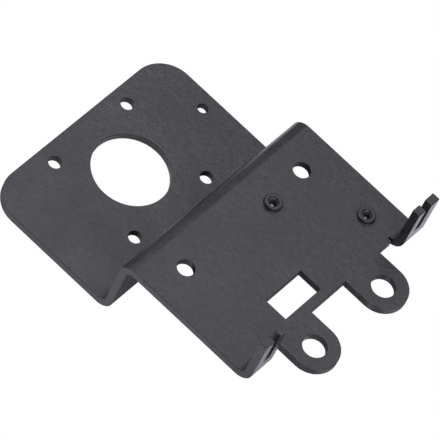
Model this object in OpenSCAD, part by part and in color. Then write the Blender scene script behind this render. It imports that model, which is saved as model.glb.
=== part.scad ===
// Extruder mounting plate for a belt-driven carriage.
// One strip of steel sheet is folded twice into a step. The high plate runs on four wheels:
// two on plain bolt holes and two on eccentric nuts in the lobes. The low plate carries the motor.
// Origin: midway between the two wheel bolt holes, on the top face of the high plate.
// +X runs along the folds, +Y towards the motor, +Z towards the belt tabs.

/* [Sheet] */
// Thickness of the steel sheet
sheet_t = 2.5; // [1.5:0.1:3.2]
// Inside radius of every fold
bend_r = 2; // [1:0.1:3]
// Width of the folded strip
strip_w = 75; // [72:0.5:110]
// Height of the step, from the motor plate's top face to the carriage plate's top face
step_h = 21.5; // [12:0.5:40]
// Distance from the line of wheel bolts to the near face of the upright web
wheels_to_web = 10; // [8:0.5:25]

/* [Motor plate] */
// Distance from the web's far face to the motor axis, so that a 42.3 motor clears the fold
web_to_motor = 23.7; // [22:0.1:35]
// Distance from the motor axis to the plate's outer edge
motor_to_edge = 21; // [19.5:0.5:40]
// How far the motor axis stands to the right of the strip's middle line
motor_offset = 0.6; // [-3:0.1:3]
// Radius of the two outer corners
corner_r = 10; // [1:0.5:15]
// Diameter of the hole for the motor's raised centring ring
bore_d = 23.5; // [22.2:0.1:28]
// Distance between neighbouring motor screws, on a square
motor_pitch = 31; // [28:0.1:34]
// Diameter of the four motor screw holes
motor_hole_d = 4; // [3:0.1:5]
// Diameter of the small hole beside the motor
side_hole_d = 3.1; // [2:0.1:5]
// Distance from the small hole's axis to the strip's right edge
side_hole_inset = 5; // [3.5:0.1:9]
// How far the small hole stands beyond the motor axis, towards the outer edge
side_hole_shift = 0.6; // [-8:0.1:6]

/* [Carriage plate] */
// Distance between the two wheel bolt holes
wheel_pitch = 50; // [40:0.5:62]
// Diameter of the two wheel bolt holes
wheel_hole_d = 5.2; // [4:0.1:6]
// Distance from the wheel bolts to the eccentric nuts, across the rail
wheels_to_eccentrics = 39.8; // [36:0.1:60]
// Distance between the two eccentric nut holes
eccentric_pitch = 30; // [24:0.5:36]
// Diameter of the two eccentric nut holes
eccentric_hole_d = 7.2; // [5:0.1:8]
// Width of each lobe, whose end is a half circle
lobe_w = 15; // [11:0.5:20]
// Distance from the plate's lower edge to the line of eccentric nuts
lobe_reach = 8; // [2:0.5:12]
// Width of the window
window_w = 15; // [6:0.5:24]
// Height of the window, across the plate
window_h = 7.4; // [4:0.1:14]
// Width of the rim left between the window and the lower edge
window_rim = 3; // [1.5:0.1:8]
// Distance from the strip's middle line to the window's right side
window_shift = 0; // [-4:0.5:6]

/* [Belt tabs] */
// Width of each tab, measured in from the strip's side
tab_w = 9; // [7:0.1:12]
// Height of the tabs above the carriage plate's top face
tab_h = 16.8; // [12:0.1:30]
// Width of the slot that the belt end drops into
slot_w = 2.5; // [1.2:0.1:3]
// Width of the outer prong of each tab, beside the strip's edge
outer_prong_w = 3.6; // [1.5:0.1:4]
// Height of the slot's floor above the carriage plate's top face
slot_floor_h = 5.7; // [3.5:0.1:9]
// How far behind the lower edge the tabs' folds begin
tab_setback = 1.4; // [0.5:0.1:4]
// Width of the relief notch beside each tab
relief_w = 0.6; // [0.3:0.1:2]

/* [Tapped collars] */
// Outside diameter of the collars raised from the sheet
collar_d = 5.4; // [4:0.1:8]
// Height of the collars above the carriage plate's top face
collar_h = 1.2; // [0.7:0.1:2.5]
// Diameter of the core hole for the thread
tap_d = 2.5; // [2:0.1:3]
// Rounding of the collars' rims
rim_r = 0.4; // [0.1:0.05:0.6]
// Radius where the collars flow out of the sheet
root_r = 0.3; // [0.1:0.05:0.8]
// Distance of the upper collar from the middle line
upper_collar_x = 10; // [5:0.1:16]
// Distance of the upper collar below the line of wheel bolts
upper_collar_drop = 1.9; // [-2:0.1:10]
// Distance of the lower collar from the middle line
lower_collar_x = 28.2; // [12:0.1:31]
// Distance of the lower collar below the line of wheel bolts
lower_collar_drop = 21.7; // [12:0.1:24]

/* [Hidden] */
$fn = 96;

// How far a cut runs past the face that it opens
past = 1;
half_turn = 180;
quarter_turn = 90;

// Outside radius of every fold
bend_outer_r = bend_r + sheet_t;

// Stations along Y
web_near_y = wheels_to_web;
web_far_y = web_near_y + sheet_t;
motor_y = web_far_y + web_to_motor;
outer_y = motor_y + motor_to_edge;
eccentric_y = -wheels_to_eccentrics;
lower_y = eccentric_y + lobe_reach;
tab_fold_y = lower_y + tab_setback;

// Heights of the faces
top_z = 0;
under_z = top_z - sheet_t;
motor_top_z = top_z - step_h;
motor_under_z = motor_top_z - sheet_t;

half_w = strip_w / 2;
motor_x = motor_offset;

// Quarter ring of sheet around a fold, filling the quadrant of +X and +Y
module fold_section() {
    intersection() {
        difference() {
            circle(r = bend_outer_r);
            circle(r = bend_r);
        }
        square(bend_outer_r);
    }
}

// Section of the step: two flats joined by two folds and an upright web
module step_section() {
    // Motor plate
    translate([web_far_y + bend_r, motor_under_z])
        square([outer_y - web_far_y - bend_r, sheet_t]);
    // Fold from the motor plate up into the web
    translate([web_far_y + bend_r, motor_top_z + bend_r])
        rotate(half_turn)
            fold_section();
    // Web
    translate([web_near_y, motor_top_z + bend_r])
        square([sheet_t, step_h - sheet_t - 2 * bend_r]);
    // Fold from the web into the carriage plate
    translate([web_near_y - bend_r, under_z - bend_r])
        fold_section();
    // Carriage plate
    translate([lower_y, under_z])
        square([web_near_y - bend_r - lower_y, sheet_t]);
}

// A length of the step, as wide as the strip
module folded_strip() {
    translate([-half_w, 0, 0])
        rotate([quarter_turn, 0, quarter_turn])
            linear_extrude(strip_w)
                step_section();
}

// What rounding takes off the right-hand outer corner of the motor plate
module corner_waste() {
    translate([half_w - corner_r, outer_y - corner_r])
        difference() {
            square(corner_r + past);
            circle(r = corner_r);
        }
}

// Tongue with a round end that carries one eccentric nut
module lobe() {
    translate([0, eccentric_y]) {
        circle(d = lobe_w);
        translate([-lobe_w / 2, 0])
            square([lobe_w, lobe_reach + tab_setback]);
    }
}

// Recess in the lower edge where a tab's fold begins, with its relief notch
module tab_recess() {
    translate([half_w - tab_w - relief_w, lower_y - past])
        square([tab_w + relief_w + past, tab_setback + past]);
}

// Cuts that shape the outline of the strip
module outline_cuts() {
    for (side = [0, 1])
        mirror([side, 0])
            corner_waste();
    for (side = [0, 1])
        mirror([side, 0])
            tab_recess();
}

// Holes and window of the carriage plate
module carriage_cuts() {
    for (side = [-1, 1]) {
        translate([side * wheel_pitch / 2, 0])
            circle(d = wheel_hole_d);
        translate([side * eccentric_pitch / 2, eccentric_y])
            circle(d = eccentric_hole_d);
    }
    translate([window_shift - window_w, lower_y + window_rim])
        square([window_w, window_h]);
}

// Holes of the motor plate
module motor_cuts() {
    translate([motor_x, motor_y]) {
        circle(d = bore_d);
        for (side = [-1, 1], end = [-1, 1])
            translate([side * motor_pitch / 2, end * motor_pitch / 2])
                circle(d = motor_hole_d);
    }
    translate([half_w - side_hole_inset, motor_y + side_hole_shift])
        circle(d = side_hole_d);
}

// Section of a tab: a fold and the upright above it
module tab_section() {
    translate([tab_fold_y, top_z + bend_r])
        rotate(half_turn)
            fold_section();
    translate([tab_fold_y - bend_outer_r, top_z + bend_r])
        square([sheet_t, tab_h - bend_r]);
}

// Upturned tab at the strip's right side, with its belt slot
module belt_tab() {
    difference() {
        translate([half_w - tab_w, 0, 0])
            rotate([quarter_turn, 0, quarter_turn])
                linear_extrude(tab_w)
                    tab_section();
        translate([
            half_w - outer_prong_w - slot_w,
            tab_fold_y - bend_outer_r - past,
            top_z + slot_floor_h
        ])
            cube([slot_w, sheet_t + 2 * past, tab_h - slot_floor_h + past]);
    }
}

// Half section of a collar, from the middle of the sheet to its rounded rim
module collar_section() {
    collar_r = collar_d / 2;
    translate([0, -sheet_t / 2])
        square([collar_r, sheet_t / 2 + collar_h - rim_r]);
    square([collar_r - rim_r, collar_h]);
    translate([collar_r - rim_r, collar_h - rim_r])
        circle(r = rim_r);
    difference() {
        translate([0, -root_r])
            square([collar_r + root_r, 2 * root_r]);
        translate([collar_r + root_r, root_r])
            circle(r = root_r);
    }
}

// Places something at the axis of each tapped collar
module at_collars() {
    translate([upper_collar_x, -upper_collar_drop, top_z])
        children();
    translate([lower_collar_x, -lower_collar_drop, top_z])
        children();
}

// The whole plate: folded strip, lobes, tabs and collars, with every hole cut through
module mounting_plate() {
    color("#4b4c50")
        difference() {
            union() {
                difference() {
                    folded_strip();
                    translate([0, 0, motor_under_z - past])
                        linear_extrude(step_h + sheet_t + 2 * past)
                            outline_cuts();
                }
                for (side = [-1, 1])
                    translate([side * eccentric_pitch / 2, 0, under_z])
                        linear_extrude(sheet_t)
                            lobe();
                for (side = [0, 1])
                    mirror([side, 0, 0])
                        belt_tab();
                at_collars()
                    rotate_extrude()
                        collar_section();
            }
            translate([0, 0, under_z - past])
                linear_extrude(sheet_t + 2 * past)
                    carriage_cuts();
            translate([0, 0, motor_under_z - past])
                linear_extrude(sheet_t + 2 * past)
                    motor_cuts();
            at_collars()
                translate([0, 0, -sheet_t - past])
                    cylinder(d = tap_d, h = sheet_t + collar_h + 2 * past);
        }
}

mounting_plate();
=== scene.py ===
"""Looks of the extruder mounting plate: folded steel sheet under a fine matt black powder coat."""

import math

import bmesh
import bpy
from mathutils import Matrix, Vector


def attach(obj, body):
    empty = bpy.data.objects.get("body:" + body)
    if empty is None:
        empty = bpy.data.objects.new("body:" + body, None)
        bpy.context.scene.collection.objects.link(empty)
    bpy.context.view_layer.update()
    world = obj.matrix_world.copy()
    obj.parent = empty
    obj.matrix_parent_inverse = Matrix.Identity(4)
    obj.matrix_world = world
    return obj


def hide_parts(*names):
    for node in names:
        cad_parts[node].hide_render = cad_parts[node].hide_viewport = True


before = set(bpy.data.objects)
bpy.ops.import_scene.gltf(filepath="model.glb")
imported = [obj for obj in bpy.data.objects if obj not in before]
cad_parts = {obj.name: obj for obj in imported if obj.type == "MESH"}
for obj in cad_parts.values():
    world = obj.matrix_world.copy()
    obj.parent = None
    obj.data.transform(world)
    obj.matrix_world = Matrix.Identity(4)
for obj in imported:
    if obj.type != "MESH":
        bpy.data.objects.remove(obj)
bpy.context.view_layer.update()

# Turns millimetres into metres. Lengths are in millimetres unless a comment says that they are
# in metres, and angles are in degrees.
MM = 0.001

# Sizes of the plate, as the frame has them
SHEET_T = 2.5
COLLAR_H = 1.2
COLLARS = {"upper": (10.0, -1.9), "lower": (28.2, -21.7)}
CORE_R = 1.25
UNDERSIDE_Z = -24.0

# Rounding of the sheet's cut edges under the coat, and of the mouths of the tapped collars
EDGE_R = 0.16
MOUTH_R = 0.3
ROUNDING_STEPS = 3

# M3 coarse thread in the collars, and how far its ends lie inside the hole
THREAD_R = 1.5
THREAD_PITCH = 0.5
THREAD_DEPTH = 0.6134 * THREAD_PITCH
THREAD_STEPS = 32
THREAD_TOP = COLLAR_H - 0.38
THREAD_BOTTOM = 0.12 - SHEET_T
SLEEVE_R = 1.6

# Outline of the ridge: the part of a pitch along the axis, and the part of the depth
THREAD_RIDGE = ((0.0, 0.0), (0.125, 0.0), (0.4375, 1.0), (0.5625, 1.0), (0.875, 0.0), (1.0, 0.0))

# How many turns below the thread's lower end the ridge starts, and how many it has in all beyond
# the thread's length, before both ends are cut off
THREAD_LEAD = 1.5
THREAD_SPARE = 2

# Points this close are one, lengths this close are equal, and how exact a cut is
MERGE_DISTANCE = 0.002
SIZE_TOLERANCE = 0.01
CUT_TOLERANCE = 0.0001

# Faces that turn by less are one flat, and edges that turn by more are cut edges
FLAT_ANGLE = 0.5
SHARP_ANGLE = 60.0

# Weight of the flats in the shading of the roundings, from 1 to 100
FLAT_WEIGHT = 100

# Middle of a noise that runs from 0 to 1
NOISE_MIDDLE = 0.5

# Sockets of the Mix node that belong to colours
MIX_FACTOR, MIX_LOW, MIX_HIGH, MIX_RESULT = 0, 6, 7, 2

WHITE = (1.0, 1.0, 1.0, 1.0)
PALE_GREY = (0.55, 0.55, 0.55, 1.0)
BLACK = (0.0, 0.0, 0.0, 1.0)

# The camera of the photograph: where it aims, and from where, with the azimuth from +X.
# The places and the clipping are turned into metres here.
AIM = Vector((-5.956, 4.122, 0.0)) * MM
CAMERA_DISTANCE = 1530.29 * MM
CAMERA_AZIMUTH = -161.811
CAMERA_ELEVATION = 54.563
CAMERA_ROLL = 27.975
CAMERA_LENS = 456.52
SENSOR_WIDTH = 36.0
CLIP_START = 100.0 * MM
CLIP_END = 30000.0 * MM

# The table just under the plate. It ends close behind the plate, so that the fold over the web
# mirrors the darker room beyond it.
TABLE_HALF_WIDTH = 1000.0
TABLE_FRONT = -50.0
TABLE_BACK = 68.0
TABLE_GAP = 4.0

# The tent round it all, in metres, and the strength of the room's even light
BACKDROP_R = 3.0
BACKDROP_STEPS = 3
ROOM_LIGHT = 0.23

# The soft boxes, whose distance is in metres: azimuth from +X, elevation, half the angle that
# each fills, and radiance
BOX_DISTANCE = 1.6
LIGHT_TINT = (0.985, 1.0, 1.125)
SOFT_BOXES = {
    "mirror_high": (18.0, 66.0, 13.0, 2.4),
    "mirror_low": (22.0, 42.0, 13.0, 0.17),
    "left": (246.0, 42.0, 20.0, 2.42),
    "low_left": (210.0, 12.0, 8.0, 0.8),
    "rear": (112.0, 42.0, 16.0, 1.6),
    "rear_low": (53.0, 19.0, 15.0, 0.3),
}

# Small soft boxes that stand near the plate: place and side in metres, and radiance
NEAR_BOXES = {
    "near_right": (0.30, 0.20, 0.42, 0.12, 1.33),
    "near_rear": (0.12, 0.32, 0.30, 0.15, 2.16),
    "near_left": (-0.10, 0.35, 0.30, 0.15, 3.2),
}

# The bright cards at the table's height: middle, width, depth and radiance
CARD_LIFT = 0.1
CARDS = {
    "card_left": (-164.0, 95.0, 250.0, 230.0, 0.57),
    "card_low_left": (-171.0, -105.0, 236.0, 170.0, 0.6),
    "card_right": (170.0, -42.0, 240.0, 296.0, 0.8),
    "card_front": (-170.0, -290.0, 240.0, 190.0, 13.0),
    "card_tab": (-9.0, -44.0, 30.0, 12.0, 0.72),
    "card_motor": (0.0, 38.0, 66.0, 34.0, 0.33),
    "card_web": (-18.0, 3.0, 28.0, 14.0, 0.06),
    "card_lobes": (14.0, -75.0, 80.0, 24.0, 0.8),
}


# Materials

class Value:
    """A socket whose sums, differences and products are Math nodes."""

    def __init__(self, finish, socket):
        self.finish = finish
        self.socket = socket

    def _math(self, operation, first, second):
        return self.finish.value("ShaderNodeMath", {"operation": operation},
                                 {0: first, 1: second})

    def __add__(self, other):
        return self._math("ADD", self, other)

    def __radd__(self, other):
        return self._math("ADD", other, self)

    def __sub__(self, other):
        return self._math("SUBTRACT", self, other)

    def __rsub__(self, other):
        return self._math("SUBTRACT", other, self)

    def __mul__(self, other):
        return self._math("MULTIPLY", self, other)

    def __rmul__(self, other):
        return self._math("MULTIPLY", other, self)


class Finish:
    """A material, built node by node."""

    def __init__(self, name):
        self.material = bpy.data.materials.new(name)
        self.material.use_nodes = True
        self.tree = self.material.node_tree
        self.tree.nodes.clear()

    def node(self, kind, settings=None, inputs=None):
        """A new node, with its settings made and its inputs set or linked."""
        made = self.tree.nodes.new(kind)
        for key, setting in (settings or {}).items():
            setattr(made, key, setting)
        for key, given in (inputs or {}).items():
            socket = made.inputs[key]
            if isinstance(given, Value):
                given = given.socket
            if isinstance(given, bpy.types.NodeSocket):
                self.tree.links.new(given, socket)
            else:
                socket.default_value = given
        return made

    def value(self, kind, settings=None, inputs=None, output=0):
        """One output of a new node."""
        return Value(self, self.node(kind, settings, inputs).outputs[output])

    def place(self):
        """Where a point lies on the object, in metres."""
        return self.value("ShaderNodeTexCoord", output="Object")

    def noise(self, scale, detail, roughness):
        """Noise from 0 to 1 whose grains are about 1 / scale metres wide."""
        return self.value("ShaderNodeTexNoise", inputs={
            "Vector": self.place(), "Scale": scale, "Detail": detail, "Roughness": roughness})

    def mix(self, factor, low, high):
        """A colour between low and high."""
        return self.value("ShaderNodeMix", {"data_type": "RGBA"},
                          {MIX_FACTOR: factor, MIX_LOW: low, MIX_HIGH: high}, MIX_RESULT)

    def bump(self, height, distance, strength):
        """Normals of a surface whose noise stands up by about the distance in millimetres."""
        return self.value("ShaderNodeBump", inputs={
            "Strength": strength, "Distance": distance * MM, "Height": height})

    def surface(self, inputs):
        """The finished material, whose shader has the given inputs."""
        shader = self.node("ShaderNodeBsdfPrincipled", inputs=inputs)
        self.node("ShaderNodeOutputMaterial", inputs={"Surface": shader.outputs[0]})
        return self.material


def powder_coat():
    """Black powder coat: a fine sandy skin over soft orange peel, unevenly filmed by handling."""
    coat = Finish("black_powder_coat")
    sand = coat.noise(scale=1250.0, detail=2.0, roughness=0.65)
    peel = coat.noise(scale=520.0, detail=2.0, roughness=0.5)
    film = coat.noise(scale=60.0, detail=4.0, roughness=0.6)
    tone = coat.value("ShaderNodeMapRange", inputs={
        "Value": 0.5 * film + 0.3 * peel + 0.2 * sand, "From Min": 0.4, "From Max": 0.6})
    colour = coat.mix(tone, low=(0.011, 0.0111, 0.0123, 1.0), high=(0.031, 0.0312, 0.0335, 1.0))
    roughness = 0.34 + 0.1 * (sand - NOISE_MIDDLE) + 0.4 * (film - NOISE_MIDDLE)
    normal = coat.bump(height=0.55 * sand + 0.7 * peel, distance=0.085, strength=1.0)
    return coat.surface({
        "Base Color": colour, "Roughness": roughness, "Normal": normal, "IOR": 1.5})


def tapped_steel():
    """Cut steel of the threads, darkened by oil and by the coat that strays into the holes."""
    steel = Finish("tapped_steel")
    marks = steel.noise(scale=1800.0, detail=3.0, roughness=0.6)
    colour = steel.mix(marks, low=(0.06, 0.06, 0.064, 1.0), high=(0.2, 0.195, 0.19, 1.0))
    normal = steel.bump(height=marks, distance=0.03, strength=0.3)
    return steel.surface({
        "Base Color": colour, "Metallic": 0.8, "Roughness": 0.35 + 0.2 * marks,
        "Normal": normal})


def table_paper():
    """Plain pale grey paper."""
    paper = Finish("studio_paper")
    return paper.surface({"Base Color": PALE_GREY, "Roughness": 0.9})


def lit_backdrop():
    """Evenly lit white."""
    glow = Finish("lit_backdrop")
    return glow.surface({
        "Base Color": BLACK, "Specular IOR Level": 0.0,
        "Emission Color": WHITE, "Emission Strength": 1.0})


# Shapes

def added(name, data):
    """A new object in the scene."""
    thing = bpy.data.objects.new(name, data)
    bpy.context.scene.collection.objects.link(thing)
    return thing


def mesh_object(name, bm, material):
    """Turns a bmesh into an object of one material."""
    mesh = bpy.data.meshes.new(name)
    bm.to_mesh(mesh)
    bm.free()
    mesh.materials.append(material)
    return added(name, mesh)


def merge(bm):
    """Joins the points that coincide."""
    bmesh.ops.remove_doubles(bm, verts=bm.verts, dist=MERGE_DISTANCE * MM)


def is_near(length, size):
    """Whether a length in metres is the size in millimetres."""
    return abs(length - size * MM) < SIZE_TOLERANCE * MM


def set_radius(verts, axis, radius):
    """Moves points straight away from an upright axis until they stand at the radius."""
    for vert in verts:
        vert.co.xy = axis + (vert.co.xy - axis).normalized() * radius * MM


def finished(name, bm, material):
    """Turns a bmesh into a piece that moves with the plate, with its flats shaded flat."""
    for face in bm.faces:
        face.smooth = True
    piece = mesh_object(name, bm, material)
    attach(piece, "root")
    shading = piece.modifiers.new("even_shading", "WEIGHTED_NORMAL")
    shading.mode = "FACE_AREA"
    shading.weight = FLAT_WEIGHT
    shading.keep_sharp = False
    return piece


def coated_sheet(material):
    """The folded sheet with its core holes opened for the threads and its cut edges rounded."""
    bm = bmesh.new()
    bm.from_mesh(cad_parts["mounting_plate"].data)
    merge(bm)
    bmesh.ops.dissolve_limit(bm, angle_limit=math.radians(FLAT_ANGLE), verts=bm.verts,
                             edges=bm.edges, use_dissolve_boundaries=False)
    for x, y in COLLARS.values():
        axis = Vector((x, y)) * MM
        core = [v for v in bm.verts if is_near((v.co.xy - axis).length, CORE_R)]
        set_radius(core, axis, THREAD_R)
    bm.normal_update()
    sharp = [e for e in bm.edges
             if e.is_manifold and e.calc_face_angle() > math.radians(SHARP_ANGLE)]
    mouths = [e for e in sharp if all(is_near(v.co.z, COLLAR_H) for v in e.verts)]
    rims = [e for e in sharp if e not in mouths]
    for edges, radius in ((mouths, MOUTH_R), (rims, EDGE_R)):
        bmesh.ops.bevel(bm, geom=edges, offset=radius * MM, offset_type="OFFSET",
                        affect="EDGES", segments=ROUNDING_STEPS, profile=0.5, material=-1,
                        clamp_overlap=False, loop_slide=False)
    piece = finished("coated_plate", bm, material)
    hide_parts("mounting_plate")


def thread(name, x, y, material):
    """The tapped thread of one collar: a helical ridge on a thin sleeve, closed at both ends."""
    axis = Vector((x, y)) * MM
    turns = math.ceil((THREAD_TOP - THREAD_BOTTOM) / THREAD_PITCH) + THREAD_SPARE
    bm = bmesh.new()
    start = [bm.verts.new(Vector((x + THREAD_R - inward * THREAD_DEPTH, y,
                                  THREAD_BOTTOM + (rise - THREAD_LEAD) * THREAD_PITCH)) * MM)
             for rise, inward in THREAD_RIDGE]
    edges = [bm.edges.new(pair) for pair in zip(start, start[1:])]
    bmesh.ops.spin(bm, geom=start + edges, cent=axis.to_3d(), axis=(0.0, 0.0, 1.0),
                   dvec=Vector((0.0, 0.0, THREAD_PITCH / THREAD_STEPS)) * MM,
                   angle=math.tau * turns, steps=THREAD_STEPS * turns)
    merge(bm)
    for z, side in ((THREAD_TOP, 1.0), (THREAD_BOTTOM, -1.0)):
        bmesh.ops.bisect_plane(bm, geom=bm.verts[:] + bm.edges[:] + bm.faces[:],
                               dist=CUT_TOLERANCE * MM, plane_co=Vector((x, y, z)) * MM,
                               plane_no=(0.0, 0.0, side), clear_outer=True)
    merge(bm)
    rims = [e for e in bm.edges if e.is_boundary]
    grown = bmesh.ops.extrude_edge_only(bm, edges=rims)["geom"]
    set_radius([g for g in grown if isinstance(g, bmesh.types.BMVert)], axis, SLEEVE_R)
    bmesh.ops.bridge_loops(bm, edges=[e for e in bm.edges if e.is_boundary])
    bmesh.ops.recalc_face_normals(bm, faces=bm.faces)
    finished(name, bm, material)


# Studio

def direction(azimuth, elevation):
    """The unit vector that points that way, with the azimuth from +X."""
    turn, rise = math.radians(azimuth), math.radians(elevation)
    return Vector((math.cos(turn) * math.cos(rise), math.sin(turn) * math.cos(rise),
                   math.sin(rise)))


def photo_camera():
    """The photograph's viewpoint: a long lens, high on the left, rolled with the picture."""
    data = bpy.data.cameras.new("camera")
    data.lens = CAMERA_LENS
    data.sensor_width = SENSOR_WIDTH
    data.clip_start = CLIP_START
    data.clip_end = CLIP_END
    camera = added("camera", data)
    back = direction(CAMERA_AZIMUTH, CAMERA_ELEVATION)
    level = (-back).to_track_quat("-Z", "Y")
    roll = Matrix.Rotation(math.radians(CAMERA_ROLL), 3, back).to_quaternion()
    camera.location = AIM + back * CAMERA_DISTANCE
    camera.rotation_mode = "QUATERNION"
    camera.rotation_quaternion = roll @ level
    bpy.context.scene.camera = camera


def panel(name, place, aim, width, depth, radiance):
    """A rectangular area light that gives the stated radiance and is left out of the picture."""
    data = bpy.data.lights.new(name, "AREA")
    data.shape = "RECTANGLE"
    data.size = width
    data.size_y = depth
    data.energy = radiance * math.pi * width * depth
    data.color = LIGHT_TINT
    lamp = added(name, data)
    lamp.location = place
    lamp.rotation_mode = "QUATERNION"
    lamp.rotation_quaternion = (aim - place).to_track_quat("-Z", "Y")
    lamp.visible_camera = False


def soft_box(name, azimuth, elevation, half_angle, radiance):
    """A square panel that faces the plate and fills the given angle as the plate sees it."""
    side = 2.0 * BOX_DISTANCE * math.tan(math.radians(half_angle))
    panel(name, direction(azimuth, elevation) * BOX_DISTANCE, Vector(), side, side, radiance)


def near_box(name, x, y, z, side, radiance):
    """A square panel near the plate, which it faces."""
    panel(name, Vector((x, y, z)), Vector(), side, side, radiance)


def card(name, x, y, width, depth, radiance):
    """A bright card at the table's height that lights the plate from below."""
    place = Vector((x, y, UNDERSIDE_Z - TABLE_GAP + CARD_LIFT)) * MM
    panel(name, place, place + Vector((0.0, 0.0, 1.0)), width * MM, depth * MM, radiance)


def table():
    """A pale table close under the plate, which lights it and isn't in the picture."""
    bm = bmesh.new()
    bmesh.ops.create_grid(bm, x_segments=1, y_segments=1, size=1.0)
    bmesh.ops.scale(bm, verts=bm.verts, vec=Vector(
        (TABLE_HALF_WIDTH, 0.5 * (TABLE_BACK - TABLE_FRONT), 1.0)) * MM)
    bmesh.ops.translate(bm, verts=bm.verts, vec=Vector(
        (0.0, 0.5 * (TABLE_BACK + TABLE_FRONT), UNDERSIDE_Z - TABLE_GAP)) * MM)
    piece = mesh_object("white_table", bm, table_paper())
    piece.visible_camera = False


def backdrop():
    """A tent round it all that the camera sees as even white and that lights nothing."""
    bm = bmesh.new()
    bmesh.ops.create_icosphere(bm, subdivisions=BACKDROP_STEPS, radius=BACKDROP_R)
    bmesh.ops.reverse_faces(bm, faces=bm.faces)
    piece = mesh_object("studio_backdrop", bm, lit_backdrop())
    piece.visible_diffuse = False
    piece.visible_glossy = False
    piece.visible_transmission = False
    piece.visible_shadow = False


def room_light():
    """Even light from all round."""
    world = bpy.data.worlds.new("studio_room")
    bpy.context.scene.world = world
    world.use_nodes = True
    background = world.node_tree.nodes["Background"]
    background.inputs["Color"].default_value = WHITE
    background.inputs["Strength"].default_value = ROOM_LIGHT


def studio():
    """The table, the tent and the lights."""
    table()
    backdrop()
    room_light()
    for make, rows in ((soft_box, SOFT_BOXES), (near_box, NEAR_BOXES), (card, CARDS)):
        for name, values in rows.items():
            make(name, *values)


coated_sheet(powder_coat())
steel = tapped_steel()
for collar, (collar_x, collar_y) in COLLARS.items():
    thread(collar + "_thread", collar_x, collar_y, steel)
photo_camera()
studio()

scene = bpy.context.scene
scene.view_settings.view_transform = "Standard"
scene.view_settings.look = "None"
